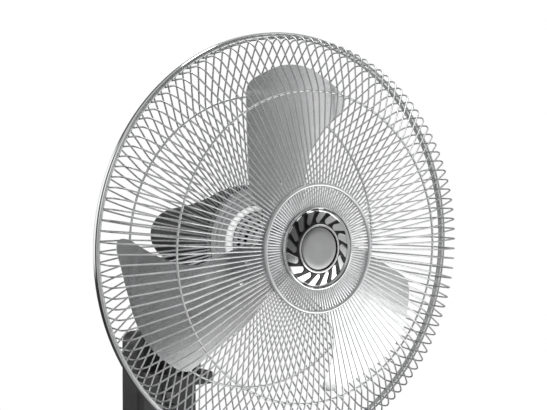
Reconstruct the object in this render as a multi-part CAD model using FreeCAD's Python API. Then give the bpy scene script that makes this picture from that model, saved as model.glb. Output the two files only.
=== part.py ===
import FreeCAD, Part
import math
import os

from FreeCAD import Vector as V

# ---------------------------------------------------------------------------
# Wall fan, 406 mm sweep.  Millimetres, +Z up, wall plane at Y = 0, fan faces -Y.
# Origin: centre of the wall plate's back face.
# Fan-axis coordinates used below: r = radius from the fan axis,
# d = distance in front of the guard's clamp band (towards -Y).
# ---------------------------------------------------------------------------

# driving dimensions
DW = 283.0            # wall plane to clamp band plane
ZA = 207.0            # height of the fan axis above the origin
BAND_R = 238.0        # outer radius of the clamp band
WIRE_D = 1.8          # guard wire diameter
WIRE_R = 231.0        # radius of the wires where they leave the rim
SHOULDER_R = 234.2    # radius of the front guard's shoulder
N_WIRES = 124         # wires in each guard
RIM_D = 3.6           # rim ring wire diameter
MID_D = 2.5           # middle ring wire diameter
INNER_D = 4.0         # thick inner ring of the front guard
TIP_R = 203.0         # blade tip radius
BLADE_T = 1.2         # blade sheet thickness
BLADE_ANGLES = (0.0, 121.2, 239.6)   # blades on the spider, counter-clockwise from the top
SHAFT_R = 4.0         # motor shaft radius
SWIVEL_D = -212.0     # swing axis position along the fan axis
HINGE_DZ = -103.0     # tilt hinge height relative to the fan axis
BASE_HX = 42.0        # base half width
BASE_HZ = 85.0        # base half height
BASE_DEPTH = 42.0     # base depth from the wall
FORK_HX = 19.0        # half width of the arm's fork
BARREL_HX = 13.4      # half width of the tilt barrel
RUN = 0.05            # radial running clearance
GAP = 0.02            # gap between touching curved pieces

HY = -(DW + SWIVEL_D)     # Y of the swing axis and the tilt hinge
HZ = ZA + HINGE_DZ        # Z of the tilt hinge
AXP = V(0, 0, ZA)
AXD = V(0, 1, 0)


def fy(d):
    return -(DW + d)


def pol(r, ang, d):
    a = math.radians(ang)
    return V(r * math.cos(a), fy(d), ZA + r * math.sin(a))


def turn(shape, ang):
    # positive angle: counter-clockwise seen from the front
    s = shape.copy()
    s.rotate(AXP, V(0, -1, 0), ang)
    return s


def rev(pts):
    w = Part.makePolygon([V(r, fy(d), ZA) for r, d in pts] + [V(pts[0][0], fy(pts[0][1]), ZA)])
    return Part.Face(w).revolve(AXP, AXD, 360)


def tube(ro, ri, d0, d1):
    lo, hi = min(d0, d1), max(d0, d1)
    s = Part.makeCylinder(ro, hi - lo, V(0, fy(hi), ZA), AXD)
    if ri > 0:
        s = s.cut(Part.makeCylinder(ri, hi - lo + 2, V(0, fy(hi) - 1, ZA), AXD))
    return s


def torus(r, wire_d, d):
    return Part.makeTorus(r, wire_d / 2.0, V(0, fy(d), ZA), AXD)


def box(x0, x1, y0, y1, z0, z1):
    return Part.makeBox(x1 - x0, y1 - y0, z1 - z0, V(x0, y0, z0))


def zcyl(r, x, y, z0, z1):
    return Part.makeCylinder(r, z1 - z0, V(x, y, z0), V(0, 0, 1))


def xcyl(r, x0, x1, y, z):
    return Part.makeCylinder(r, x1 - x0, V(x0, y, z), V(1, 0, 0))


def ycyl(r, y0, y1, x, z):
    return Part.makeCylinder(r, y1 - y0, V(x, y0, z), V(0, 1, 0))


def hexprism(af, p, axis, length):
    # hexagon across flats af, starting at p, along axis
    r = af / math.sqrt(3.0)
    a = V(axis)
    a.normalize()
    u = V(0, 0, 1) if abs(a.z) < 0.5 else V(1, 0, 0)
    v = a.cross(u)
    pts = []
    for i in range(7):
        t = math.radians(60 * i)
        pts.append(p + u * (r * math.cos(t)) + v * (r * math.sin(t)))
    return Part.Face(Part.makePolygon(pts)).extrude(a * length)


def fillet_along(shape, axis, radius):
    # rounds the straight edges that run along one row axis
    edges = []
    for e in shape.Edges:
        if len(e.Vertexes) == 2:
            t = e.Vertexes[1].Point - e.Vertexes[0].Point
            if t.Length > 1e-6 and abs(t.dot(axis)) / t.Length > 0.999:
                edges.append(e)
    return shape.makeFillet(radius, edges)


def spline_edge(pts):
    c = Part.BSplineCurve()
    c.interpolate(pts)
    return c.toShape()


def path_wire(pts, radii):
    # straight runs joined by tangent arcs in the (r, d) half plane
    P = [V(r, fy(d), ZA) for r, d in pts]
    edges = []
    last = P[0]
    for i in range(1, len(P) - 1):
        a = (P[i - 1] - P[i]).normalize()
        b = (P[i + 1] - P[i]).normalize()
        half = math.acos(max(-1, min(1, a.dot(b)))) / 2.0
        t = radii[i - 1] / math.tan(half)
        p0 = P[i] + a * t
        p1 = P[i] + b * t
        bis = (a + b).normalize()
        c = P[i] + bis * (radii[i - 1] / math.sin(half))
        m = c - bis * radii[i - 1]
        edges.append(Part.LineSegment(last, p0).toShape())
        edges.append(Part.Arc(p0, m, p1).toShape())
        last = p1
    edges.append(Part.LineSegment(last, P[-1]).toShape())
    return Part.Wire(edges)


def sweep_round(wire, dia):
    e = wire.Edges[0]
    p = e.valueAt(e.FirstParameter)
    t = e.tangentAt(e.FirstParameter)
    prof = Part.Wire(Part.makeCircle(dia / 2.0, p, t))
    return wire.makePipeShell([prof], True, False)


def ring_of(shape, n, start=0.0):
    return Part.makeCompound([turn(shape, start + 360.0 * i / n) for i in range(n)])


NODES = {}

# ------------------------------------------------------------------ wall base
ARM_HOLES = [(sx * 34.0, z) for sx in (-1, 1) for z in (31.0, 54.0)]
WALL_HOLES = [(sx * 26.0, z) for sx in (-1, 1) for z in (18.0, -66.0)]

plate = box(-38.8, 38.8, -2.5, 0, -81.8, 81.8)
plate = fillet_along(plate, V(0, 1, 0), 11.2)
for sz in (-1, 1):
    z0, z1 = sorted((sz * 79.3, sz * 81.8))
    tab = box(-9, 9, -15, -2.5, z0, z1)
    plate = plate.fuse(tab)
    plate = plate.cut(zcyl(1.6, 0, -9.5, z0 - 1, z1 + 1))
for x, z in WALL_HOLES:
    plate = plate.cut(ycyl(2.75, -5, 1, x, z))
for x, z in ARM_HOLES:
    plate = plate.cut(ycyl(2.5, -5, 1, x, z))
NODES["wall_plate"] = plate.removeSplitter()

shell = box(-BASE_HX, BASE_HX, -BASE_DEPTH, 0, -BASE_HZ, BASE_HZ)
shell = fillet_along(shell, V(0, 1, 0), 14.0)
front_edges = [e for e in shell.Edges
               if abs(e.BoundBox.YMin + BASE_DEPTH) < 1e-6 and abs(e.BoundBox.YMax + BASE_DEPTH) < 1e-6]
shell = shell.makeFillet(7.0, front_edges)
cav = box(-39, 39, -39, 1, -82, 82)
cav = fillet_along(cav, V(0, 1, 0), 11.0)
cav_front = [e for e in cav.Edges
             if abs(e.BoundBox.YMin + 39) < 1e-6 and abs(e.BoundBox.YMax + 39) < 1e-6]
cav = cav.makeFillet(4.5, cav_front)
shell = shell.cut(cav)
shell = shell.cut(box(-30.3, 30.3, -50, -30, 24.7, 39.8))
shell = shell.cut(ycyl(4.5, -50, -30, 0, -40))
shell = shell.cut(box(-7.5, 7.5, -50, -30, -6.5, 16.5))
shell = shell.cut(zcyl(6.0, 18, -22, -90, -75))
for sz in (-1, 1):
    z0, z1 = sorted((sz * 78.0, sz * 90.0))
    shell = shell.cut(zcyl(1.6, 0, -9.5, z0, z1))
NODES["base_housing"] = shell

hs = []
for sz in (-1, 1):
    s = zcyl(1.6, 0, -9.5, 78.6, 85.0).fuse(zcyl(3.2, 0, -9.5, 85.0, 86.8))
    s = s.cut(box(-0.5, 0.5, -12.8, -6.2, 86.0, 87.5))
    s = s.removeSplitter()
    if sz < 0:
        s = s.mirror(V(0, 0, 0), V(0, 0, 1))
    hs.append(s)
NODES["housing_screws"] = Part.makeCompound(hs)

# arm: rear flange on the wall plate, stem through the housing, broad shelf and upright fork
SLAB0, SLAB1 = 25.0, 39.5               # shelf of the arm
FORK_R = 16.0                           # rounded top of the fork
arm = fillet_along(box(-38, 38, HY - 21, -10, SLAB0, SLAB1), V(0, 0, 1), 13.0)
arm = arm.common(box(-60, 60, -200, -42.2, 0, 60))
rim_edges = [e for e in arm.Edges
             if abs(e.BoundBox.ZMin - SLAB1) < 1e-6 and abs(e.BoundBox.ZMax - SLAB1) < 1e-6 and e.BoundBox.YMin < -43]
arm = arm.makeFillet(3.0, rim_edges)
arm = arm.cut(fillet_along(box(-33, 33, HY - 16, -47, SLAB0 - 1, SLAB1 - 4.5), V(0, 0, 1), 8.0))
fork = box(-FORK_HX, FORK_HX, HY - FORK_R, HY + FORK_R, SLAB1 - 3, HZ).fuse(xcyl(FORK_R, -FORK_HX, FORK_HX, HY, HZ)).removeSplitter()
fork = fork.makeFillet(2.2, [e for e in fork.Edges
                             if e.BoundBox.XMax - e.BoundBox.XMin < 1e-6 and abs(abs(e.BoundBox.XMin) - FORK_HX) < 1e-6
                             and e.BoundBox.ZMax > SLAB1])
slot = box(-BARREL_HX - 0.25, BARREL_HX + 0.25, HY - 40, HY + 40, SLAB1 + 12, 200)
fork = fork.cut(slot).cut(box(-BARREL_HX - 0.25, BARREL_HX + 0.25, HY - 40, HY + 9, SLAB1, 60))
arm = arm.fuse(fork)
stem = box(-30, 30, -50, -7.5, SLAB0, SLAB1).cut(box(-26, 26, -49, -20, SLAB0 + 3, SLAB1 - 3))
arm = arm.fuse(stem)
arm = arm.fuse(fillet_along(box(-38.5, 38.5, -7.5, -2.5, 25.5, 60), V(0, 1, 0), 9.0))
arm = arm.cut(xcyl(5.0, -60, 60, HY, HZ))
for x, z in ARM_HOLES:
    arm = arm.cut(ycyl(2.5, -10, 0, x, z))
NODES["base_arm"] = arm.removeSplitter()

NODES["arm_bolts"] = Part.makeCompound(
    [ycyl(2.5, -7.5, -0.4, x, z).fuse(hexprism(8.0, V(x, -11.2, z), V(0, 1, 0), 3.7)).removeSplitter()
     for x, z in ARM_HOLES])

bolt = xcyl(5.0, -FORK_HX, FORK_HX + 15, HY, HZ).fuse(hexprism(15.0, V(-FORK_HX - 6, HY, HZ), V(1, 0, 0), 6.0))
NODES["tilt_bolt"] = bolt.removeSplitter()

sw = box(-14, 14, -39, -22, -54, -26)
sw = fillet_along(sw, V(0, 1, 0), 3.0)
sw = sw.fuse(ycyl(4.5, -47, -39, 0, -40))
sw = sw.cut(ycyl(3.0 + RUN, -48, -28, 0, -40))
for x in (-8, 0, 8):
    sw = sw.fuse(box(x - 1.5, x + 1.5, -22, -15, -36, -35))
NODES["speed_switch"] = sw.removeSplitter()
NODES["switch_nut"] = hexprism(13.0, V(0, -44.6, -40), V(0, 1, 0), 2.5).cut(ycyl(4.5, -48, -40, 0, -40))

rk = box(-7.5, 7.5, -42, -20, -6.5, 16.5).fuse(box(-9.5, 9.5, -43.6, -42, -8.5, 18.5))
rk = rk.cut(box(-6.35, 6.35, -50, -26, -5.6, 15.6))
for z in (0, 5, 10):
    rk = rk.fuse(box(-2.0, 2.0, -20, -13, z - 0.4, z + 0.4))
NODES["swing_switch"] = rk.removeSplitter()

tb = box(-36, -17, -17, -2.5, -50, -12)
tb = fillet_along(tb, V(0, 1, 0), 2.0)
for z in (-45, -35.7, -26.3, -17):
    tb = tb.cut(ycyl(2.4, -20, -9, -30.5, z)).cut(ycyl(2.4, -20, -9, -22.5, z))
NODES["terminal_block"] = tb
cap = box(17, 37, -27, -2.5, -50, -10)
cap = fillet_along(cap, V(0, 1, 0), 4.0)
NODES["run_capacitor"] = cap

gl = zcyl(9.0, 18, -22, -88.5, -85).fuse(zcyl(6.0, 18, -22, -85, -82)).fuse(zcyl(8.2, 18, -22, -82, -79.5))
gl = gl.cut(zcyl(3.6, 18, -22, -95, -70))
NODES["cable_gland"] = gl.removeSplitter()

# controls
kn = ycyl(18.0, -62, -47.4, 0, -40)
kn = kn.makeChamfer(2.0, [e for e in kn.Edges if abs(e.BoundBox.YMin + 62) < 1e-6 and abs(e.BoundBox.YMax + 62) < 1e-6])
for i in range(18):
    a = math.radians(20 * i + 10)
    kn = kn.cut(ycyl(1.5, -63, -46, 18.6 * math.cos(a), -40 + 18.6 * math.sin(a)))
kn = kn.fuse(box(-2.2, 2.2, -65, -61.5, -55, -24))
kn = kn.fuse(ycyl(3.0, -47.5, -30, 0, -40))
NODES["speed_knob"] = kn.removeSplitter()

roc = box(-6, 6, -47.5, -33, -6, 16).common(xcyl(10.0, -6, 6, -38.5, 5))
roc = roc.cut(xcyl(26.0, -7, 7, -71.5, 5))
NODES["swing_rocker"] = roc.removeSplitter()

tk = xcyl(9.5, FORK_HX + 0.4, FORK_HX + 19, HY, HZ)
for i in range(3):
    a = math.radians(90 + 120 * i)
    cy, cz = HY + 13.5 * math.cos(a), HZ + 13.5 * math.sin(a)
    tk = tk.fuse(xcyl(7.5, FORK_HX + 6, FORK_HX + 19, cy, cz))
tk = tk.removeSplitter()
tk = tk.cut(xcyl(5.0 + RUN, FORK_HX - 5, FORK_HX + 15.6, HY, HZ))
NODES["tilt_knob"] = tk.removeSplitter()

# ----------------------------------------------------------------------- neck
FL0, FL1 = HZ + 26.0, HZ + 31.5       # neck flange
NECK_R = 13.0
nk = xcyl(15.5, -BARREL_HX, BARREL_HX, HY, HZ).fuse(zcyl(NECK_R, 0, HY, HZ, FL0)).fuse(zcyl(25.0, 0, HY, FL0, FL1))
nk = nk.removeSplitter()
nk = nk.makeFillet(1.4, [e for e in nk.Edges if abs(e.BoundBox.XMax - 25.0) < 0.01])
nk = nk.cut(zcyl(8.5, 0, HY, HZ + 10, FL1 + 1))
nk = nk.cut(xcyl(5.0 + RUN, -30, 30, HY, HZ))
nk = nk.cut(ycyl(2.5, HY - 30, HY, 0, HZ + 20))
NX, NY = -20.0, HY                     # fixed pivot of the swing link
nk = nk.cut(zcyl(2.5, NX, NY, FL0 - 1, FL1 + 1))
NODES["neck_bracket"] = nk.removeSplitter()
bush = zcyl(8.5, 0, HY, HZ + 10, FL1).cut(zcyl(6.0 + RUN, 0, HY, HZ, FL1 + 1))
bush = bush.cut(ycyl(2.5, HY - 30, HY, 0, HZ + 20))
NODES["swivel_bush"] = bush
NODES["thrust_washer"] = zcyl(11.5, 0, HY, FL1, FL1 + 1.5).cut(zcyl(6.3, 0, HY, FL1 - 1, FL1 + 2))
ss = ycyl(2.5, HY - NECK_R, HY - 5.6, 0, HZ + 20).fuse(ycyl(4.5, HY - NECK_R - 3.5, HY - NECK_R + 0.1, 0, HZ + 20))
ss = ss.cut(ycyl(4.6, HY - NECK_R, HY - NECK_R + 1, 0, HZ + 20).cut(ycyl(2.5, HY - 20, HY - 5, 0, HZ + 20)))
ss = ss.cut(zcyl(NECK_R, 0, HY, HZ, FL0).cut(zcyl(8.5, 0, HY, HZ, FL0)).cut(ycyl(2.5, HY - 30, HY, 0, HZ + 20)))
ss = ss.cut(box(-0.5, 0.5, HY - NECK_R - 4, HY - NECK_R - 2.3, HZ + 14, HZ + 26))
NODES["swivel_set_screw"] = ss
lp = zcyl(2.5, NX, NY, FL0 - 0.5, FL1 + 6.3).fuse(zcyl(4.0, NX, NY, FL1, FL1 + 3.3))
NODES["link_pin"] = lp.removeSplitter()

# ----------------------------------------------------------- motor rear cover
COVER = [(65.0, -56.0), (65.2, -66.0), (64.0, -78.0), (60.5, -95.0), (55.0, -112.0), (49.8, -132.0),
         (45.4, -150.0), (41.4, -168.0), (37.2, -190.0), (33.8, -212.0), (31.4, -228.0), (27.6, -238.2),
         (20.4, -244.6), (10.6, -246.8), (0.0, -247.2)]


def cover_body(extra):
    # the cover's outer form, set off by extra along its own normals
    pts = [V(COVER[0][0] + extra, fy(COVER[0][1]), ZA)]
    for (r0, d0), (r, d), (r1, d1) in zip(COVER, COVER[1:], COVER[2:]):
        t = math.hypot(r1 - r0, d1 - d0)
        pts.append(V(r + extra * (d0 - d1) / t, fy(d - extra * (r0 - r1) / t), ZA))
    pts.append(V(0, fy(COVER[-1][1] - extra), ZA))
    c = Part.BSplineCurve()
    c.interpolate(Points=pts, InitialTangent=V(0.0, 1, 0), FinalTangent=V(-1, 0, 0))
    e = c.toShape()
    top = V(0, fy(COVER[0][1]), ZA)
    w = Part.Wire([e, Part.LineSegment(pts[-1], top).toShape(), Part.LineSegment(top, pts[0]).toShape()])
    return Part.Face(w).revolve(AXP, AXD, 360)


outer = cover_body(0.0)
inner = cover_body(-2.5)
cover = outer.cut(inner)
cover = cover.cut(box(-12.3, 12.3, fy(-111.7), fy(-124.3), ZA - 80, ZA - 30))
# rear vents: five rows of slots across the back of the cover, parted by a middle bar
for dz, hw in ((-13.0, 11.5), (-6.5, 16.0), (0.0, 17.5), (6.5, 16.0), (13.0, 11.5)):
    for x0, x1 in ((-hw, -2.0), (2.0, hw)):
        cover = cover.cut(box(x0, x1, fy(-232), fy(-260), ZA + dz - 1.4, ZA + dz + 1.4))
for ang in (225, 315):
    a = math.radians(ang)
    dirv = V(math.cos(a), 0, math.sin(a))
    cover = cover.cut(Part.makeCylinder(1.6, 12, V(0, fy(-60), ZA) + dirv * 58, dirv))
NODES["motor_rear_cover"] = cover

# front shield: dished bell with a threaded neck for the guard nut and a vented centre
fs = rev([(61.9, -64.0), (61.9, -54.0), (60.0, -52.0), (34.9, -52.0), (34.9, -44.0), (33.8, -42.4), (31.0, -39.4),
          (26.0, -34.3), (21.0, -29.6), (16.0, -25.2), (11.5, -21.8), (8.0, -20.6), (4.6, -20.4), (4.6, -51.0), (11.0, -51.0),
          (11.0, -62.0), (14.0, -62.0), (14.0, -48.4), (7.0, -46.4), (7.0, -23.4), (11.0, -24.4), (15.0, -27.4), (19.6, -31.4),
          (24.6, -36.0), (29.4, -40.8), (31.4, -43.0), (31.4, -55.0), (58.6, -55.0), (59.4, -56.0), (59.4, -64.0)])
holes = []
for r, n, off, hr in ((30.2, 30, 0, 2.35), (24.6, 26, 0.5, 2.15), (19.2, 22, 0, 1.8), (14.0, 18, 0.5, 1.3)):
    for i in range(n):
        # each hole stands square on the dome's wall
        a = 360.0 * (i + off) / n
        d = -21.8 - 0.903 * (r - 11.5)
        p, q = pol(r + 3.5, a, d + 3.9), pol(r - 3.0, a, d - 3.3)
        holes.append(Part.makeCylinder(hr, (q - p).Length, p, q - p))
fs = fs.cut(Part.makeCompound(holes))
for k in range(4):
    p = pol(43, 45 + 90 * k, -50)
    fs = fs.cut(Part.makeCylinder(2.0, 10, p, AXD))
for ang in (225, 315):
    a = math.radians(ang)
    dirv = V(math.cos(a), 0, math.sin(a))
    fs = fs.cut(Part.makeCylinder(1.6, 12, V(0, fy(-60), ZA) + dirv * 55, dirv))
NODES["motor_front_shield"] = fs

cs = []
for ang in (225, 315):
    a = math.radians(ang)
    dirv = V(math.cos(a), 0, math.sin(a))
    c0 = V(0, fy(-60), ZA)
    s = Part.makeCylinder(1.6, 8.6, c0 + dirv * 57.0, dirv).fuse(Part.makeCylinder(3.0, 1.6, c0 + dirv * 65.4, dirv))
    cs.append(s.removeSplitter())
NODES["cover_screws"] = Part.makeCompound(cs)

rs = tube(47.5, 0, -118, -121)
rs = rs.fuse(tube(14.0, 0, -118, -131))
rs = rs.cut(tube(11.0, 0, -117, -129))
for k in range(4):
    rs = rs.cut(Part.makeCylinder(2.0, 20, pol(43, 45 + 90 * k, -110), AXD))
for k in range(6):
    rs = rs.cut(Part.makeCylinder(5.0, 20, pol(28, 60 * k, -110), AXD))
rs = rs.fuse(box(-12, 12, fy(-112), fy(-124), ZA - 58, ZA - 41))
for x in (-7, 7):
    rs = rs.cut(zcyl(2.0, x, fy(-118), ZA - 60, ZA - 46))
NODES["motor_rear_shield"] = rs.removeSplitter()

st = tube(47.0, 26.0, -70, -98)
for k in range(4):
    st = st.cut(Part.makeCylinder(2.1, 40, pol(43, 45 + 90 * k, -66), AXD))
for k in range(16):
    st = st.cut(turn(box(-1.6, 1.6, fy(-60), fy(-110), ZA + 24, ZA + 37), 22.5 * k + 11.25))
NODES["stator_core"] = st
w1 = rev([(29.5, -69.9), (38.5, -69.9), (39.6, -67.0), (38.0, -63.2), (32.0, -62.4), (29.0, -65.0)])
w2 = rev([(29.5, -98.1), (38.5, -98.1), (40.0, -102.0), (38.6, -107.5), (32.0, -108.6), (29.0, -104.0)])
NODES["stator_windings"] = Part.makeCompound([w1, w2])
NODES["front_bearing"] = tube(11.0, SHAFT_R + 0.03, -60, -51)
NODES["rear_bearing"] = tube(11.0, SHAFT_R + 0.03, -129, -120)
tb_list = []
for k in range(4):
    s = Part.makeCylinder(2.0, 66.0, pol(43, 45 + 90 * k, -55.0), AXD)
    s = s.fuse(hexprism(7.0, pol(43, 45 + 90 * k, -121.0), AXD, 3.0))
    tb_list.append(s.removeSplitter())
NODES["through_bolts"] = Part.makeCompound(tb_list)

# ------------------------------------------------------- swing drive under motor
SH0 = FL1 + 1.55                        # underside of the swing housing
CX, CY = NX, HY - 32.0                  # swing crank centre, in front of the swing axis
CRANK_R = 11.4
LINK_L = 32.3
hsg = box(-41, 41, fy(-104), fy(-233), SH0, ZA - 38)
hsg = fillet_along(hsg, V(0, 0, 1), 15.0)
hsg = hsg.makeFillet(5.0, [e for e in hsg.Edges if abs(e.BoundBox.ZMin - SH0) < 1e-6 and abs(e.BoundBox.ZMax - SH0) < 1e-6])
hsg = hsg.makeFillet(4.0, [e for e in hsg.Edges if abs(e.BoundBox.ZMin - ZA + 38) < 1e-6 and abs(e.BoundBox.ZMax - ZA + 38) < 1e-6])
# saddle under the slim rear of the motor cover
hsg = hsg.fuse(fillet_along(box(-22, 22, fy(-108), fy(-228), ZA - 40, ZA - 28), V(0, 0, 1), 9.0))
hsg = hsg.cut(cover_body(0.4))
cavity = fillet_along(box(-38.5, 38.5, fy(-161), fy(-230.5), SH0 - 1, SH0 + 22.5), V(0, 0, 1), 12.5)
hsg = hsg.cut(cavity)
hsg = hsg.cut(fillet_along(box(-36, 36, fy(-107), fy(-158), SH0 - 1, SH0 + 5.5), V(0, 0, 1), 10.0))
hsg = hsg.fuse(zcyl(10.5, 0, HY, SH0, SH0 + 24))
hsg = hsg.cut(zcyl(6.0, 0, HY, SH0 - 1, SH0 + 22.5))
hsg = hsg.cut(box(-12, 12, fy(-112), fy(-124), ZA - 58, ZA))
for x in (-7, 7):
    hsg = hsg.cut(zcyl(2.0, x, fy(-118), SH0 + 4, ZA - 57))
solids = sorted(hsg.Solids, key=lambda s: -s.Volume)
print("swing housing solids", [round(s.Volume, 1) for s in solids])
NODES["swing_housing"] = solids[0].removeSplitter()
pin = zcyl(6.0, 0, HY, HZ + 10.8, SH0 + 22.5)
pin = pin.cut(zcyl(8.0, 0, HY, HZ + 16.5, HZ + 23.5).cut(zcyl(4.9, 0, HY, HZ + 14, HZ + 26)))
NODES["swivel_pin"] = pin.removeSplitter()
fsc = []
for x in (-7, 7):
    s = zcyl(2.0, x, fy(-118), SH0 + 5.5, ZA - 46).fuse(zcyl(3.6, x, fy(-118), SH0 + 2.9, SH0 + 5.5))
    s = s.cut(box(x - 0.5, x + 0.5, fy(-118) - 5, fy(-118) + 5, SH0 + 2, SH0 + 3.9))
    fsc.append(s.removeSplitter())
NODES["foot_screws"] = Part.makeCompound(fsc)
sm = zcyl(16.5, CX, CY, SH0 + 9.5, SH0 + 22.5).cut(zcyl(2.5 + RUN, CX, CY, SH0, SH0 + 17))
sm = sm.fuse(zcyl(7.0, CX, CY, SH0 + 8.7, SH0 + 9.6).cut(zcyl(2.5 + RUN, CX, CY, SH0, SH0 + 17)))
NODES["swing_motor"] = sm.removeSplitter()

# link direction at rest: the crank pin stands square to the link
ang_l = math.radians(-90.0 - 19.6)
PX, PY = NX + LINK_L * math.cos(ang_l), NY + LINK_L * math.sin(ang_l)
ux, uy = PX - CX, PY - CY
ul = math.hypot(ux, uy)
PX, PY = CX + ux / ul * CRANK_R, CY + uy / ul * CRANK_R
crank = zcyl(14.5, CX, CY, SH0 + 5.3, SH0 + 8.3)
crank = crank.fuse(zcyl(2.5, CX, CY, SH0 + 8.3, SH0 + 16))
crank = crank.fuse(zcyl(2.2, PX, PY, SH0 + 4.3, SH0 + 5.4))
NODES["swing_crank"] = crank.removeSplitter()
lx, ly = PX - NX, PY - NY
ll = math.hypot(lx, ly)
lk = box(0, ll, -3.0, 3.0, 0, 2.0).fuse(zcyl(5.0, 0, 0, 0, 2.0)).fuse(zcyl(4.4, ll, 0, 0, 2.0))
lk = lk.cut(zcyl(2.5 + RUN, 0, 0, -1, 3)).cut(zcyl(2.6, ll, 0, -1, 3))
lk = lk.removeSplitter()
lk.rotate(V(0, 0, 0), V(0, 0, 1), math.degrees(math.atan2(ly, lx)))
lk.translate(V(NX, NY, SH0 + 1.9))
NODES["link_rod"] = lk
print("link length", round(ll, 2), "crank radius", CRANK_R)

# ---------------------------------------------------------------------- guards
W2 = WIRE_D / 2.0
REAR_D = -49.88                         # rear wires where they cross the hub plate
rear_path = path_wire([(WIRE_R, -0.6), (WIRE_R + 0.6, -10.0), (167.5, -52.5), (100.0, -53.6), (44.0, REAR_D)], [12.0, 40.0, 200.0])
one = sweep_round(rear_path, WIRE_D)
print("rear wire volume ratio", one.Volume / (math.pi * W2 * W2 * rear_path.Length), one.isValid())
NODES["rear_guard_wires"] = ring_of(one, N_WIRES)
front_path = path_wire([(WIRE_R, 0.6), (SHOULDER_R, 29.5), (173.0, 63.2), (76.0, 71.6), (42.0, 70.0)], [18.0, 60.0, 120.0])
one = sweep_round(front_path, WIRE_D)
print("front wire volume ratio", one.Volume / (math.pi * W2 * W2 * front_path.Length), one.isValid())
NODES["front_guard_wires"] = ring_of(one, N_WIRES)


def place_ring(path, r, dia, side):
    # ring centre lying against the wires, side +1 in front, -1 behind
    best = None
    for e in path.Edges:
        for k in range(401):
            t = e.FirstParameter + (e.LastParameter - e.FirstParameter) * k / 400.0
            p = e.valueAt(t)
            q = abs(p.x - r)
            if best is None or q < best[0]:
                tg = e.tangentAt(t)
                best = (q, p, tg)
    q, p, tg = best
    n = V(tg.y, -tg.x, 0)
    if (n.y < 0) != (side > 0):
        n = n * -1.0
    n.normalize()
    c = p + n * (W2 + dia / 2.0 + GAP)
    # keep the ring clear of the wire over its whole width
    d = -c.y - DW
    return c.x, d


rim_r = WIRE_R + 0.18 + W2 + RIM_D / 2.0 + GAP
rf = [torus(rim_r, RIM_D, 1.9)]
r, d = place_ring(front_path, 173.0, MID_D, -1)
rf.append(torus(r, MID_D, d - 0.15))
print("front mid ring", r, d)
r, d = place_ring(front_path, 70.0, INNER_D, 1)
rf.append(torus(r, INNER_D, d + 0.15))
print("front inner ring", r, d)
NODES["front_guard_rings"] = Part.makeCompound(rf)
rr = [torus(rim_r, RIM_D, -1.9)]
r, d = place_ring(rear_path, 167.5, MID_D, 1)
rr.append(torus(r, MID_D, d + 0.15))
print("rear mid ring", r, d)
NODES["rear_guard_rings"] = Part.makeCompound(rr)


def on_wires(r, up):
    # depth of a point above the front of the straight inner run of the rear wires
    return REAR_D - (REAR_D + 53.6) * (r - 44.0) / 56.0 + W2 + 0.14 + up


# pressed hub plate: flange under the guard nut, step, wide apron over the wire ends with two beads
apron = [(35.0, -51.98), (43.6, -51.98), (43.6, on_wires(43.6, 0)), (60.2, on_wires(60.2, 0)), (60.6, on_wires(60.6, 0.4)),
         (60.2, on_wires(60.2, 1.0))]
for rb in (55.8, 49.8):
    for dr, up in ((1.5, 1.0), (1.0, 1.75), (0.35, 2.1), (-0.35, 2.1), (-1.0, 1.75), (-1.5, 1.0)):
        apron.append((rb + dr, on_wires(rb + dr, up)))
apron += [(43.1, on_wires(43.1, 1.0)), (42.7, on_wires(42.7, 0.6)), (42.7, -51.0), (35.0, -51.0)]
NODES["rear_guard_plate"] = rev(apron)
nut = rev([(35.0, -50.78), (42.0, -50.78), (42.2, -46.5), (41.2, -43.4), (39.6, -41.9), (37.6, -41.3), (36.0, -42.0), (35.4, -43.6),
           (35.0, -45.2)])
cuts = [Part.makeCylinder(1.3, 12, pol(42.9, 15 * i, -40), AXD) for i in range(24)]
NODES["guard_nut"] = nut.cut(Part.makeCompound(cuts))
NODES["guard_centre_plate"] = tube(44.0, 0, 67.4, 68.9).cut(Part.makeCompound(
    [Part.makeCylinder(1.5, 8, pol(33, 90 + 120 * k, 72), AXD) for k in range(3)]))

band = rev([(BAND_R - 2.22, -3.2), (BAND_R - 1.6, -3.9), (BAND_R - 0.6, -3.4), (BAND_R, -1.8), (BAND_R, 1.8), (BAND_R - 0.6, 3.4),
            (BAND_R - 1.6, 3.9), (BAND_R - 2.22, 3.2)])
band = band.cut(box(-5, 5, fy(20), fy(-20), ZA - 260, ZA - 200))
LUG_Z = ZA - BAND_R - 7.0               # height of the clamp screw
for s in (-1, 1):
    x0, x1 = sorted((s * 5.0, s * 8.0))
    lug = box(x0, x1, fy(3.8), fy(-3.8), LUG_Z - 6.5, ZA - 235.6)
    lug = lug.cut(tube(BAND_R - 2.2, 0, -10, 10))
    lug = lug.cut(xcyl(2.0, x0 - 1, x1 + 1, fy(0), LUG_Z))
    band = band.fuse(lug)
NODES["clamp_band"] = band.removeSplitter()
bs = xcyl(2.0, -15, 8, fy(0), LUG_Z).fuse(xcyl(3.8, 8, 11, fy(0), LUG_Z))
bs = bs.cut(box(10.2, 12, fy(5), fy(-5), LUG_Z - 0.6, LUG_Z + 0.6))
NODES["band_screw"] = bs.removeSplitter()
NODES["band_nut"] = hexprism(7.0, V(-11.2, fy(0), LUG_Z), V(1, 0, 0), 3.2).cut(xcyl(2.0, -20, 0, fy(0), LUG_Z))

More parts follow.
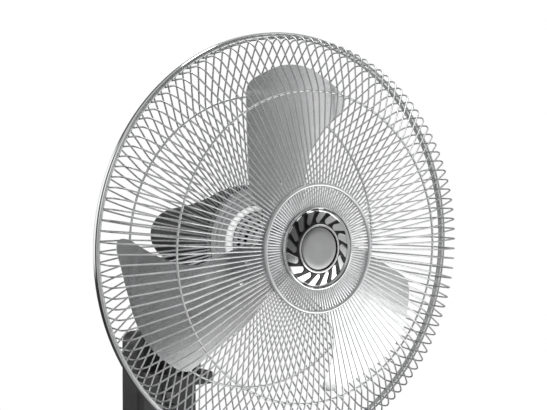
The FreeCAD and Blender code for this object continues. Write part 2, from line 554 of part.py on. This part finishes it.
# ----------------------------------------------------------------------- badge
BD = 71.0                               # back of the badge
dish = rev([(0, BD), (43.5, BD), (45.6, BD + 0.8), (45.6, BD + 3.6), (45.1, BD + 4.4), (44.4, BD + 4.6), (43.8, BD + 4.2),
            (43.2, BD + 3.1), (42.4, BD + 2.1), (41.5, BD + 1.3), (40.6, BD + 0.9), (24.0, BD + 2.6), (0, BD + 2.6)])
dish = dish.cut(Part.makeCompound([Part.makeCylinder(1.5, 2.2, pol(33, 90 + 120 * k, 72.0), AXD) for k in range(3)]))
NODES["badge_dish"] = dish
vr = rev([(23.0, BD + 2.68), (24.0, BD + 2.66), (40.4, BD + 0.98), (40.4, BD + 2.0), (39.6, BD + 2.3), (29.2, BD + 3.5), (28.2, BD + 3.9),
          (27.2, BD + 4.6), (26.0, BD + 5.0), (24.6, BD + 5.0), (23.5, BD + 4.6), (23.0, BD + 4.2)])
N_VANES = 16


def window(a0):
    # one leaning gap between two vanes: round at its inner end, open at its outer end
    p0, p1 = pol(31.5, a0, BD), pol(43.0, a0 - 13.0, BD)
    u = (p1 - p0).normalize()
    n = V(0, 1, 0).cross(u)
    q = [p0 + n * 3.5, p1 + n * 4.6, p1 - n * 4.6, p0 - n * 3.5]
    s = Part.Face(Part.makePolygon(q + q[:1])).extrude(V(0, -9, 0))
    return s.fuse(Part.makeCylinder(3.5, 9, p0, V(0, -1, 0)))


vr = vr.cut(Part.makeCompound([window(360.0 * k / N_VANES) for k in range(N_VANES)]))
NODES["badge_vane_ring"] = vr.removeSplitter()
disc = rev([(0, BD + 2.65), (22.9, BD + 2.65), (22.9, BD + 4.2), (22.2, BD + 4.55), (20.6, BD + 4.8), (18.4, BD + 4.95), (16.0, BD + 5.0), (0, BD + 5.0)])
NODES["badge_disc"] = disc
bsc = []
for k in range(3):
    p = pol(33, 90 + 120 * k, 71.7)
    s = Part.makeCylinder(1.5, 71.7 - 67.4, p, AXD).fuse(Part.makeCylinder(2.9, 1.8, pol(33, 90 + 120 * k, 67.4), AXD))
    bsc.append(s.removeSplitter())
NODES["badge_screws"] = Part.makeCompound(bsc)

# ----------------------------------------------------------------------- rotor
NODES["motor_shaft"] = tube(SHAFT_R, 0, -128, 22)
NODES["rotor_core"] = tube(25.5, SHAFT_R, -70, -98)
NODES["rotor_cage"] = Part.makeCompound([tube(24.5, 16.0, -66, -69.98), tube(24.5, 16.0, -98.02, -102)])
NODES["hub_boss"] = rev([(SHAFT_R, -17.5), (11.0, -17.5), (12.0, -16.5), (13.0, -8), (22.0, -4.5), (22.0, -2.02), (SHAFT_R, -2.02)])
NODES["spinner_cap"] = rev([(SHAFT_R, 3.02), (20.0, 3.02), (21.0, 4.0), (20.6, 9.0), (18.0, 16.0), (13.5, 21.5), (7.0, 25.2), (0.0, 26.2),
                            (0.0, 22.02), (SHAFT_R, 22.02)])


def blade_d(x):
    t = (x + 48.0) / 147.0
    return 6.0 - (26.0 * t ** 3 if t > 0 else 0.0)


def strip(lo, hi, x0, x1, z0, z1):
    # curved sheet between offsets lo and hi from the blade's middle surface
    n = 24
    xs = [x0 + (x1 - x0) * i / n for i in range(n + 1)]
    a = [V(x, fy(blade_d(x) + lo), ZA + z0) for x in xs]
    b = [V(x, fy(blade_d(x) + hi), ZA + z0) for x in xs]
    ea, eb = spline_edge(a), spline_edge(b)
    w = Part.Wire([ea, Part.LineSegment(a[-1], b[-1]).toShape(), eb, Part.LineSegment(b[0], a[0]).toShape()])
    return Part.Face(w).extrude(V(0, 0, z1 - z0))


TIP = [(-50.0, 168.0), (-48.6, 176.0), (-43.0, 183.5), (-33.0, 189.4), (-18.0, 196.0), (0.0, 201.2), (19.0, 202.1), (38.0, 198.9),
       (58.0, 191.6), (78.0, 182.6), (94.0, 174.6), (103.0, 169.4), (108.2, 163.6), (109.2, 157.6), (105.6, 151.8), (98.0, 147.8)]
LEAD = [(98.0, 147.8), (88.0, 143.6), (74.0, 136.0), (60.0, 125.6), (48.5, 113.5), (40.5, 101.0), (36.0, 88.0), (33.6, 73.0), (31.0, 58.0), (24.0, 36.0)]
TRAIL = [(-24.0, 36.0), (-38.0, 52.0), (-44.6, 72.0), (-47.6, 100.0), (-49.2, 135.0), (-50.0, 168.0)]


def to3(p):
    return V(p[0], fy(60), ZA + p[1])


outline = Part.Wire([spline_edge([to3(p) for p in TRAIL]), spline_edge([to3(p) for p in TIP]), spline_edge([to3(p) for p in LEAD]),
                     Part.LineSegment(to3(LEAD[-1]), to3(TRAIL[0])).toShape()])
prism = Part.Face(outline).extrude(V(0, 130, 0))
RIVETS = [(-15.0, 50.0), (9.0, 50.0), (-4.0, 70.0)]
blade = strip(-BLADE_T / 2, BLADE_T / 2, -70, 125, 10, 230).common(prism)
spider_arm = strip(-BLADE_T / 2 - GAP - 2.0, -BLADE_T / 2 - GAP, -26, 20, 22, 80)
arm_outline = Part.Wire([Part.makePolygon([V(-26, fy(60), ZA + 20), V(-24, fy(60), ZA + 60), V(-14, fy(60), ZA + 79), V(6, fy(60), ZA + 79),
                                           V(17, fy(60), ZA + 60), V(20, fy(60), ZA + 20), V(-26, fy(60), ZA + 20)])])
spider_arm = spider_arm.common(Part.Face(arm_outline).extrude(V(0, 130, 0)))
rivet_set = []
for x, z in RIVETS:
    hole = ycyl(2.0, fy(30), fy(-30), x, ZA + z)
    blade = blade.cut(hole)
    spider_arm = spider_arm.cut(hole)
    df = blade_d(x) + BLADE_T / 2 + 0.34
    db = blade_d(x) - BLADE_T / 2 - GAP - 2.0 - 0.34
    s = Part.makeCylinder(2.0, df - db, V(x, fy(df), ZA + z), AXD)
    for d0, sg in ((df, 1), (db, -1)):
        cap_ = Part.makeSphere(4.6, V(x, fy(d0 - sg * 2.7), ZA + z))
        slab = box(x - 5, x + 5, min(fy(d0), fy(d0 + sg * 3)), max(fy(d0), fy(d0 + sg * 3)), ZA + z - 5, ZA + z + 5)
        s = s.fuse(cap_.common(slab))
    rivet_set.append(s.removeSplitter())
blade = blade.Solids[0]
NODES["fan_blade_top"] = blade
NODES["fan_blade_left"] = turn(blade, BLADE_ANGLES[1])
NODES["fan_blade_right"] = turn(blade, BLADE_ANGLES[2])
NODES["blade_rivets"] = Part.makeCompound([turn(s, a) for a in BLADE_ANGLES for s in rivet_set])
spider = tube(30.0, SHAFT_R, -2.0, 3.0)
for a in BLADE_ANGLES:
    spider = spider.fuse(turn(spider_arm, a))
NODES["blade_spider"] = spider.removeSplitter()

# ---------------------------------------------------------------------- export
os.makedirs("parts", exist_ok=True)
bad = []
for name in sorted(NODES):
    s = NODES[name]
    sol = s.Solids
    if not sol or not all(x.isValid() and x.Volume > 0 for x in sol):
        bad.append((name, len(sol), [round(x.Volume, 2) for x in sol][:4]))
    shape = sol[0] if len(sol) == 1 else Part.makeCompound(sol)
    shape.exportStep("parts/%s.step" % name)
    b = shape.BoundBox
    print("%-22s n=%3d vol=%10.1f  X %.1f..%.1f Y %.1f..%.1f Z %.1f..%.1f" %
          (name, len(sol), sum(x.Volume for x in sol), b.XMin, b.XMax, b.YMin, b.YMax, b.ZMin, b.ZMax))
print("nodes", len(NODES), "bad", bad)
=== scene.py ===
"""Looks of the wall fan: materials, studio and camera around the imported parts."""

import bpy
import math
from mathutils import Matrix, Vector

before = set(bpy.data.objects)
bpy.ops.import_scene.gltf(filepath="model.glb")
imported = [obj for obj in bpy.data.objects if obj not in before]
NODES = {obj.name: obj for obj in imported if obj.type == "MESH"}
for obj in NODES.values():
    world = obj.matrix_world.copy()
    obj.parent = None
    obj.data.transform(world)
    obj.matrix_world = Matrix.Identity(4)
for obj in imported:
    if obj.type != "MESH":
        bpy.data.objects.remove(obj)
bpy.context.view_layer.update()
SCN = bpy.context.scene

# ----------------------------------------------------------------- shared frame, metres
DW = 0.283                      # wall to guard rim plane
ZA = 0.207                      # fan axis height above the plate's centre
AXIS = Vector((0.0, -DW, ZA))   # centre of the clamp band


# ----------------------------------------------------------------- material helpers
class Mat:
    """A principled material with its nodes made by short calls."""

    def __init__(self, name, **const):
        self.m = bpy.data.materials.new(name)
        self.m.use_nodes = True
        self.t = self.m.node_tree
        self.t.nodes.clear()
        self.out = self.n("ShaderNodeOutputMaterial")
        self.b = self.n("ShaderNodeBsdfPrincipled")
        self.link(self.b, 0, self.out, 0)
        self.co = self.n("ShaderNodeTexCoord")
        for k, v in const.items():
            self.set(k, v)

    NAMES = {
        "metallic": "Metallic", "rough": "Roughness", "ior": "IOR", "spec": "Specular IOR Level",
        "coat": "Coat Weight", "coat_rough": "Coat Roughness", "aniso": "Anisotropic",
        "aniso_rot": "Anisotropic Rotation", "base": "Base Color", "sheen": "Sheen Weight",
    }

    def set(self, k, v):
        s = self.b.inputs[self.NAMES[k]]
        s.default_value = (*v, 1.0) if isinstance(v, tuple) else v

    def n(self, kind, **kw):
        x = self.t.nodes.new(kind)
        for k, v in kw.items():
            setattr(x, k, v)
        return x

    def link(self, a, i, b, j):
        self.t.links.new(a.outputs[i], b.inputs[j])

    def mapped(self, scale=(1, 1, 1), loc=(0, 0, 0), rot=(0, 0, 0)):
        p = self.n("ShaderNodeMapping")
        p.inputs["Location"].default_value = loc
        p.inputs["Rotation"].default_value = rot
        p.inputs["Scale"].default_value = scale
        self.link(self.co, "Object", p, "Vector")
        return p

    def noise(self, scale, detail=3.0, rough=0.55, stretch=(1, 1, 1), loc=(0, 0, 0), rot=(0, 0, 0)):
        p = self.mapped(stretch, loc, rot)
        x = self.n("ShaderNodeTexNoise")
        x.inputs["Scale"].default_value = scale
        x.inputs["Detail"].default_value = detail
        x.inputs["Roughness"].default_value = rough
        self.link(p, 0, x, "Vector")
        return x

    def ramp(self, src, out, stops, interp="LINEAR"):
        r = self.n("ShaderNodeValToRGB")
        r.color_ramp.interpolation = interp
        e = r.color_ramp.elements
        while len(e) > 2:
            e.remove(e[-1])
        while len(e) < len(stops):
            e.new(0.5)
        for k, (pos, c) in enumerate(stops):
            e[k].position = pos
            e[k].color = (*c, 1.0) if isinstance(c, tuple) else (c, c, c, 1.0)
        self.link(src, out, r, "Fac")
        return r

    def rng(self, src, out, lo, hi, a=0.3, b=0.7):
        r = self.n("ShaderNodeMapRange")
        r.inputs["From Min"].default_value = a
        r.inputs["From Max"].default_value = b
        r.inputs["To Min"].default_value = lo
        r.inputs["To Max"].default_value = hi
        self.link(src, out, r, "Value")
        return r

    def colour(self, node, out=0):
        self.link(node, out, self.b, "Base Color")

    def roughness(self, node, out=0):
        self.link(node, out, self.b, "Roughness")

    def bump(self, src, out, strength, dist, prev=None):
        x = self.n("ShaderNodeBump")
        x.inputs["Strength"].default_value = strength
        x.inputs["Distance"].default_value = dist
        self.link(src, out, x, "Height")
        if prev is not None:
            self.link(prev, 0, x, "Normal")
        self.link(x, 0, self.b, "Normal")
        return x


def grey_pair(a, b):
    return [(0.32, a), (0.68, b)]


def metal(name, lo, hi, r0, r1, scale=60.0, fine=900.0, bump=0.06, dist=0.00006, stretch=(1, 1, 1), **kw):
    m = Mat(name, metallic=1.0, **kw)
    big = m.noise(scale, 4.0, 0.6, stretch)
    m.colour(m.ramp(big, "Fac", grey_pair(lo, hi)))
    fin = m.noise(fine, 3.0, 0.6, stretch)
    m.roughness(m.rng(fin, "Fac", r0, r1))
    if bump:
        m.bump(fin, "Fac", bump, dist)
    return m


def plastic(name, lo, hi, r0, r1, grain=1400.0, bump=0.25, dist=0.00012, **kw):
    m = Mat(name, metallic=0.0, **kw)
    big = m.noise(35.0, 4.0, 0.6)
    m.colour(m.ramp(big, "Fac", grey_pair(lo, hi)))
    g = m.noise(grain, 2.0, 0.5)
    m.roughness(m.rng(g, "Fac", r0, r1))
    m.bump(g, "Fac", bump, dist)
    return m


M = {}
M["chrome_wire"] = metal("chrome_wire", (0.68, 0.685, 0.69), (0.76, 0.765, 0.77), 0.24, 0.36, 45.0, 700.0, 0.04)
M["chrome_band"] = metal("chrome_band", (0.78, 0.785, 0.79), (0.86, 0.865, 0.87), 0.05, 0.13, 30.0, 500.0, 0.03)
M["badge_chrome"] = metal("badge_chrome", (0.80, 0.805, 0.81), (0.88, 0.885, 0.89), 0.07, 0.15, 60.0, 900.0, 0.02)
M["badge_gunmetal"] = metal("badge_gunmetal", (0.045, 0.046, 0.048), (0.075, 0.076, 0.078), 0.22, 0.34, 90.0, 1200.0, 0.10)
M["badge_satin"] = metal("badge_satin", (0.355, 0.357, 0.36), (0.415, 0.417, 0.42), 0.30, 0.42, 40.0, 1500.0, 0.12)
M["blade_aluminium"] = metal("blade_aluminium", (0.735, 0.74, 0.745), (0.805, 0.81, 0.815), 0.16, 0.20, 14.0, 160.0, 0.0)
M["spider_steel"] = metal("spider_steel", (0.50, 0.505, 0.51), (0.60, 0.605, 0.61), 0.28, 0.40, 50.0, 900.0, 0.10)
M["spinner_chrome"] = metal("spinner_chrome", (0.66, 0.665, 0.67), (0.76, 0.765, 0.77), 0.10, 0.22, 50.0, 900.0, 0.04)
M["zinc_steel"] = metal("zinc_steel", (0.42, 0.425, 0.43), (0.58, 0.585, 0.59), 0.24, 0.42, 160.0, 900.0, 0.10)
M["cast_alloy"] = metal("cast_alloy", (0.36, 0.36, 0.365), (0.48, 0.48, 0.485), 0.42, 0.60, 220.0, 1500.0, 0.45, 0.0002)
M["electrical_steel"] = metal("electrical_steel", (0.20, 0.20, 0.205), (0.30, 0.30, 0.305), 0.34, 0.50, 60.0, 900.0, 0.30, 0.0002, (1, 12, 1))
M["copper"] = metal("copper", (0.45, 0.15, 0.06), (0.60, 0.22, 0.09), 0.22, 0.36, 90.0, 600.0, 0.40, 0.0003, (1, 1, 1))
M["bronze"] = metal("bronze", (0.36, 0.22, 0.09), (0.46, 0.30, 0.13), 0.30, 0.45, 140.0, 900.0, 0.15)
M["guard_nut_grey"] = plastic("guard_nut_grey", (0.92, 0.922, 0.925), (0.96, 0.962, 0.965), 0.22, 0.34, 900.0, 0.08, coat=0.35, coat_rough=0.12)
M["shield_paint"] = plastic("shield_paint", (0.54, 0.545, 0.55), (0.62, 0.625, 0.63), 0.30, 0.45, 700.0, 0.20, coat=0.2, coat_rough=0.2)
M["charcoal_plastic"] = plastic("charcoal_plastic", (0.014, 0.0145, 0.015), (0.022, 0.0225, 0.023), 0.36, 0.52, 1100.0, 0.30)
M["black_plastic"] = plastic("black_plastic", (0.010, 0.010, 0.011), (0.018, 0.018, 0.019), 0.32, 0.48, 1100.0, 0.30)
M["black_paint"] = plastic("black_paint", (0.010, 0.010, 0.0105), (0.017, 0.017, 0.0175), 0.26, 0.42, 620.0, 0.45, 0.0002)
M["switch_plastic"] = plastic("switch_plastic", (0.030, 0.030, 0.031), (0.045, 0.045, 0.046), 0.34, 0.46, 1400.0, 0.20)
M["black_rubber"] = plastic("black_rubber", (0.014, 0.014, 0.014), (0.024, 0.024, 0.024), 0.60, 0.78, 900.0, 0.35)


def axis_radius(m):
    """Distance from the fan axis, in metres."""
    flat = m.mapped((1, 0, 1), (0, 0, -ZA))
    ln = m.n("ShaderNodeVectorMath", operation="LENGTH")
    m.link(flat, 0, ln, 0)
    return ln


def bands_and_painted_shade(m, src, out, stops, like, a=0.3, b=0.7):
    """Multiply a cloudy base colour by a ramp over a geometric value: colour bands on the badge, painted shade on the
    motor dome.
    """
    cloud = m.noise(70.0, 4.0, 0.6)
    base = m.ramp(cloud, "Fac", grey_pair(*like))
    r = m.ramp(m.rng(src, out, 0.0, 1.0, a, b), 0, stops)
    mix = m.n("ShaderNodeMix", data_type="RGBA", blend_type="MULTIPLY")
    mix.inputs[0].default_value = 1.0
    m.link(base, 0, mix, 6)
    m.link(r, 0, mix, 7)
    m.colour(mix, 2)
    return r


# perforated motor dome: light paint outside; painted shade inside and in the holes, where a depth mask colours the
# cavity and inner hole walls black
dome = Mat("shield_dome", metallic=0.0, coat=0.2, coat_rough=0.2)
dr = axis_radius(dome)
dy = dome.n("ShaderNodeSeparateXYZ")
dome.link(dome.co, "Object", dy, 0)
painted_shade_depth = dome.n("ShaderNodeMath", operation="MULTIPLY_ADD")
dome.link(dr, "Value", painted_shade_depth, 0)
painted_shade_depth.inputs[1].default_value = 0.903
dneg = dome.n("ShaderNodeMath", operation="MULTIPLY")
dome.link(dy, "Y", dneg, 0)
dneg.inputs[1].default_value = -1.0
dome.link(dneg, 0, painted_shade_depth, 2)
# painted shade: below the depth mask the colour is black, standing in for the shadow inside the dome
bands_and_painted_shade(dome, painted_shade_depth, 0, [(0.0, 0.012), (0.30, 0.012), (0.55, 1.0), (1.0, 1.0)], ((0.27, 0.272, 0.275), (0.32, 0.322, 0.325)),
         DW - 0.0134, DW - 0.0108)
dg = dome.noise(700.0, 2.0, 0.5)
dome.roughness(dome.rng(dg, "Fac", 0.30, 0.45))
dome.bump(dg, "Fac", 0.20, 0.00012)
M["shield_dome"] = dome

# badge ring: black inner lip, bright bead, dark vanes
vane = Mat("badge_vanes", metallic=1.0)
bands_and_painted_shade(vane, axis_radius(vane), "Value", [(0.0, 0.012), (0.27, 0.012), (0.30, 1.0), (0.50, 1.0), (0.56, 0.055), (1.0, 0.055)],
         ((0.78, 0.782, 0.785), (0.86, 0.862, 0.865)), 0.0220, 0.0310)
vn = vane.noise(900.0, 3.0, 0.6)
vane.roughness(vane.rng(vn, "Fac", 0.14, 0.24))
vane.bump(vn, "Fac", 0.03, 0.00006)
M["badge_vanes"] = vane

# guard rings: the same plating as the wires, a little duller; light painted hub plate
M["ring_plate"] = metal("ring_plate", (0.74, 0.745, 0.75), (0.82, 0.825, 0.83), 0.30, 0.42, 45.0, 700.0, 0.03)
M["plate_paint"] = plastic("plate_paint", (0.29, 0.292, 0.295), (0.34, 0.342, 0.345), 0.30, 0.44, 800.0, 0.12)


def paint(obj, mat):
    if obj.material_slots:
        for s in obj.material_slots:
            s.material = mat.m
    else:
        obj.data.materials.append(mat.m)


for name, obj in NODES.items():
    slot = obj.material_slots[0].material.name if obj.material_slots else "zinc_steel"
    paint(obj, M[slot.split(".")[0]])

for name, key in (("motor_front_shield", "shield_dome"), ("badge_vane_ring", "badge_vanes"), ("badge_dish", "badge_chrome"),
                  ("front_guard_rings", "ring_plate"), ("rear_guard_rings", "ring_plate"), ("rear_guard_plate", "plate_paint")):
    paint(NODES[name], M[key])

# ----------------------------------------------------------------- floor
bpy.ops.mesh.primitive_circle_add(vertices=160, radius=1.6, fill_type="NGON", location=(0, -0.2, -0.195))
floor = bpy.context.object
floor.name = "floor"
fm = Mat("floor_pale", rough=0.85)
fm.b.inputs["Emission Color"].default_value = (1, 1, 1, 1)
fm.b.inputs["Emission Strength"].default_value = 0.62
fn = fm.noise(3.0, 3.0)
fm.colour(fm.ramp(fn, "Fac", grey_pair((0.80, 0.80, 0.80), (0.82, 0.82, 0.82))))
tr = fm.n("ShaderNodeBsdfTransparent")
mx = fm.n("ShaderNodeMixShader")
gr = fm.n("ShaderNodeVectorMath", operation="LENGTH")
fm.link(fm.co, "Object", gr, 0)
fade = fm.rng(gr, "Value", 0.0, 1.0, 0.55, 1.5)
fm.link(fade, 0, mx, 0)
fm.link(fm.b, 0, mx, 1)
fm.link(tr, 0, mx, 2)
fm.link(mx, 0, fm.out, 0)
floor.data.materials.append(fm.m)
floor.visible_glossy = False
floor.visible_shadow = False

# ----------------------------------------------------------------- studio light
world = bpy.data.worlds.new("studio")
SCN.world = world
world.use_nodes = True
wt = world.node_tree
wt.nodes.clear()
wo = wt.nodes.new("ShaderNodeOutputWorld")
bg_seen = wt.nodes.new("ShaderNodeBackground")
bg_seen.inputs["Color"].default_value = (1, 1, 1, 1)
bg_seen.inputs["Strength"].default_value = 1.0
bg_env = wt.nodes.new("ShaderNodeBackground")
bg_env.inputs["Strength"].default_value = 1.05
lp = wt.nodes.new("ShaderNodeLightPath")
wmix = wt.nodes.new("ShaderNodeMixShader")
wt.links.new(lp.outputs["Is Camera Ray"], wmix.inputs[0])
wt.links.new(bg_env.outputs[0], wmix.inputs[1])
wt.links.new(bg_seen.outputs[0], wmix.inputs[2])
wt.links.new(wmix.outputs[0], wo.inputs[0])
wc = wt.nodes.new("ShaderNodeTexCoord")
sx = wt.nodes.new("ShaderNodeSeparateXYZ")
wt.links.new(wc.outputs["Generated"], sx.inputs[0])


def wrange(axis, a, b, smooth=False):
    r = wt.nodes.new("ShaderNodeMapRange")
    r.inputs["From Min"].default_value = a
    r.inputs["From Max"].default_value = b
    if smooth:
        r.interpolation_type = "SMOOTHSTEP"
    wt.links.new(sx.outputs[axis], r.inputs["Value"])
    return r


def wramp(src, stops):
    r = wt.nodes.new("ShaderNodeValToRGB")
    els = r.color_ramp.elements
    while len(els) < len(stops):
        els.new(0.5)
    for e, (p, v) in zip(els, stops):
        e.position = p
        e.color = (v, v, v, 1)
    wt.links.new(src.outputs[0], r.inputs[0])
    return r


# front half of the room: bright low sweep, dim above; rear half: dark low, bright high
height = wrange("Z", -1.0, 1.0)
front = wramp(height, [(0.0, 0.40), (0.30, 0.27), (0.38, 0.18), (0.44, 0.12), (0.50, 0.095), (0.60, 0.085), (0.75, 0.10), (1.0, 0.34)])
right = wramp(height, [(0.0, 0.42), (0.38, 0.40), (0.44, 0.40), (0.50, 0.41), (0.56, 0.41), (0.73, 0.38), (1.0, 0.40)])
rear = wramp(height, [(0.0, 0.34), (0.30, 0.32), (0.50, 0.30), (0.62, 0.22), (0.77, 0.14), (0.85, 0.60), (1.0, 0.45)])
left = wramp(height, [(0.0, 0.42), (0.38, 0.42), (0.47, 0.48), (0.53, 0.46), (0.62, 0.38), (0.80, 0.30), (1.0, 0.34)])
shade = wramp(height, [(0.0, 0.10), (0.30, 0.03), (0.50, 0.05), (0.62, 0.10), (0.77, 0.12), (0.85, 0.60), (1.0, 0.45)])


def wmix2(fac, a, b):
    m = wt.nodes.new("ShaderNodeMix")
    m.data_type = "RGBA"
    wt.links.new(fac.outputs[0], m.inputs[0])
    wt.links.new(a, m.inputs[6])
    wt.links.new(b, m.inputs[7])
    return m.outputs[2]


room = wmix2(wrange("X", -0.25, 0.15, True), left.outputs[0], front.outputs[0])
room = wmix2(wrange("X", 0.50, 0.66, True), room, right.outputs[0])
back = wmix2(wrange("X", 0.10, 0.35, True), shade.outputs[0], rear.outputs[0])
room = wmix2(wrange("Y", -0.10, 0.35, True), room, back)

def lobe(direction, inner_deg, outer_deg, strength, prev):
    """Add a soft round panel of light around one direction."""
    d = wt.nodes.new("ShaderNodeVectorMath")
    d.operation = "DOT_PRODUCT"
    wt.links.new(wc.outputs["Generated"], d.inputs[0])
    d.inputs[1].default_value = Vector(direction).normalized()
    r = wt.nodes.new("ShaderNodeMapRange")
    r.interpolation_type = "SMOOTHSTEP"
    r.inputs["From Min"].default_value = math.cos(math.radians(outer_deg))
    r.inputs["From Max"].default_value = math.cos(math.radians(inner_deg))
    r.inputs["To Max"].default_value = strength
    wt.links.new(d.outputs["Value"], r.inputs["Value"])
    a = wt.nodes.new("ShaderNodeMix")
    a.data_type = "RGBA"
    a.blend_type = "ADD"
    a.inputs[0].default_value = 1.0
    wt.links.new(prev, a.inputs[6])
    wt.links.new(r.outputs[0], a.inputs[7])
    return a.outputs[2]


glow = lobe((0.50, -0.75, -0.55), 19.5, 26.0, 2.05, room)
glow = lobe((0.97, -0.24, 0.02), 8.0, 30.0, 0.40, glow)
glow = lobe((0.80, -0.50, -0.32), 10.0, 18.0, 0.70, glow)
glow = lobe((0.58, -0.62, 0.53), 9.0, 16.0, 0.65, glow)
glow = lobe((-0.46, -0.82, 0.33), 7.0, 20.0, 0.50, glow)
glow = lobe((-0.50, 0.82, 0.16), 14.0, 22.0, 1.00, glow)
wt.links.new(glow, bg_env.inputs["Color"])


def area(name, loc, aim, size, power, colour=(1, 1, 1)):
    d = bpy.data.lights.new(name, "AREA")
    d.shape = "RECTANGLE"
    d.size, d.size_y = size
    d.energy = power
    d.color = colour
    o = bpy.data.objects.new(name, d)
    SCN.collection.objects.link(o)
    o.location = loc
    o.rotation_mode = "QUATERNION"
    o.rotation_quaternion = (Vector(aim) - Vector(loc)).to_track_quat("-Z", "Y")
    return o


key = area("key", (-2.0, -2.1, 1.9), AXIS, (1.2, 1.2), 98.0)
key.visible_glossy = False
area("top", (0.3, 0.3, 2.6), AXIS, (1.4, 1.4), 22.0)

# ----------------------------------------------------------------- camera
A, E = math.radians(-34.467), math.radians(2.708)
BACK = Vector((math.sin(A) * math.cos(E), -math.cos(A) * math.cos(E), math.sin(E)))
RIGHT = Vector((math.cos(A), math.sin(A), 0.0))
UP = BACK.cross(RIGHT)
cam_data = bpy.data.cameras.new("camera")
cam = bpy.data.objects.new("camera", cam_data)
SCN.collection.objects.link(cam)
cam_data.sensor_fit = "HORIZONTAL"
cam_data.sensor_width = 36.0
cam_data.lens = 1866.57 / 547.0 * 36.0
cam_data.clip_start, cam_data.clip_end = 0.05, 50.0
cam_data.dof.use_dof = False
rot = Matrix((RIGHT, UP, BACK)).transposed()
cam.matrix_world = Matrix.Translation(AXIS + RIGHT * -0.00726 + UP * 0.04466 + BACK * 2.1) @ rot.to_4x4()
SCN.camera = cam

SCN.view_settings.view_transform = "Standard"
SCN.view_settings.look = "None"
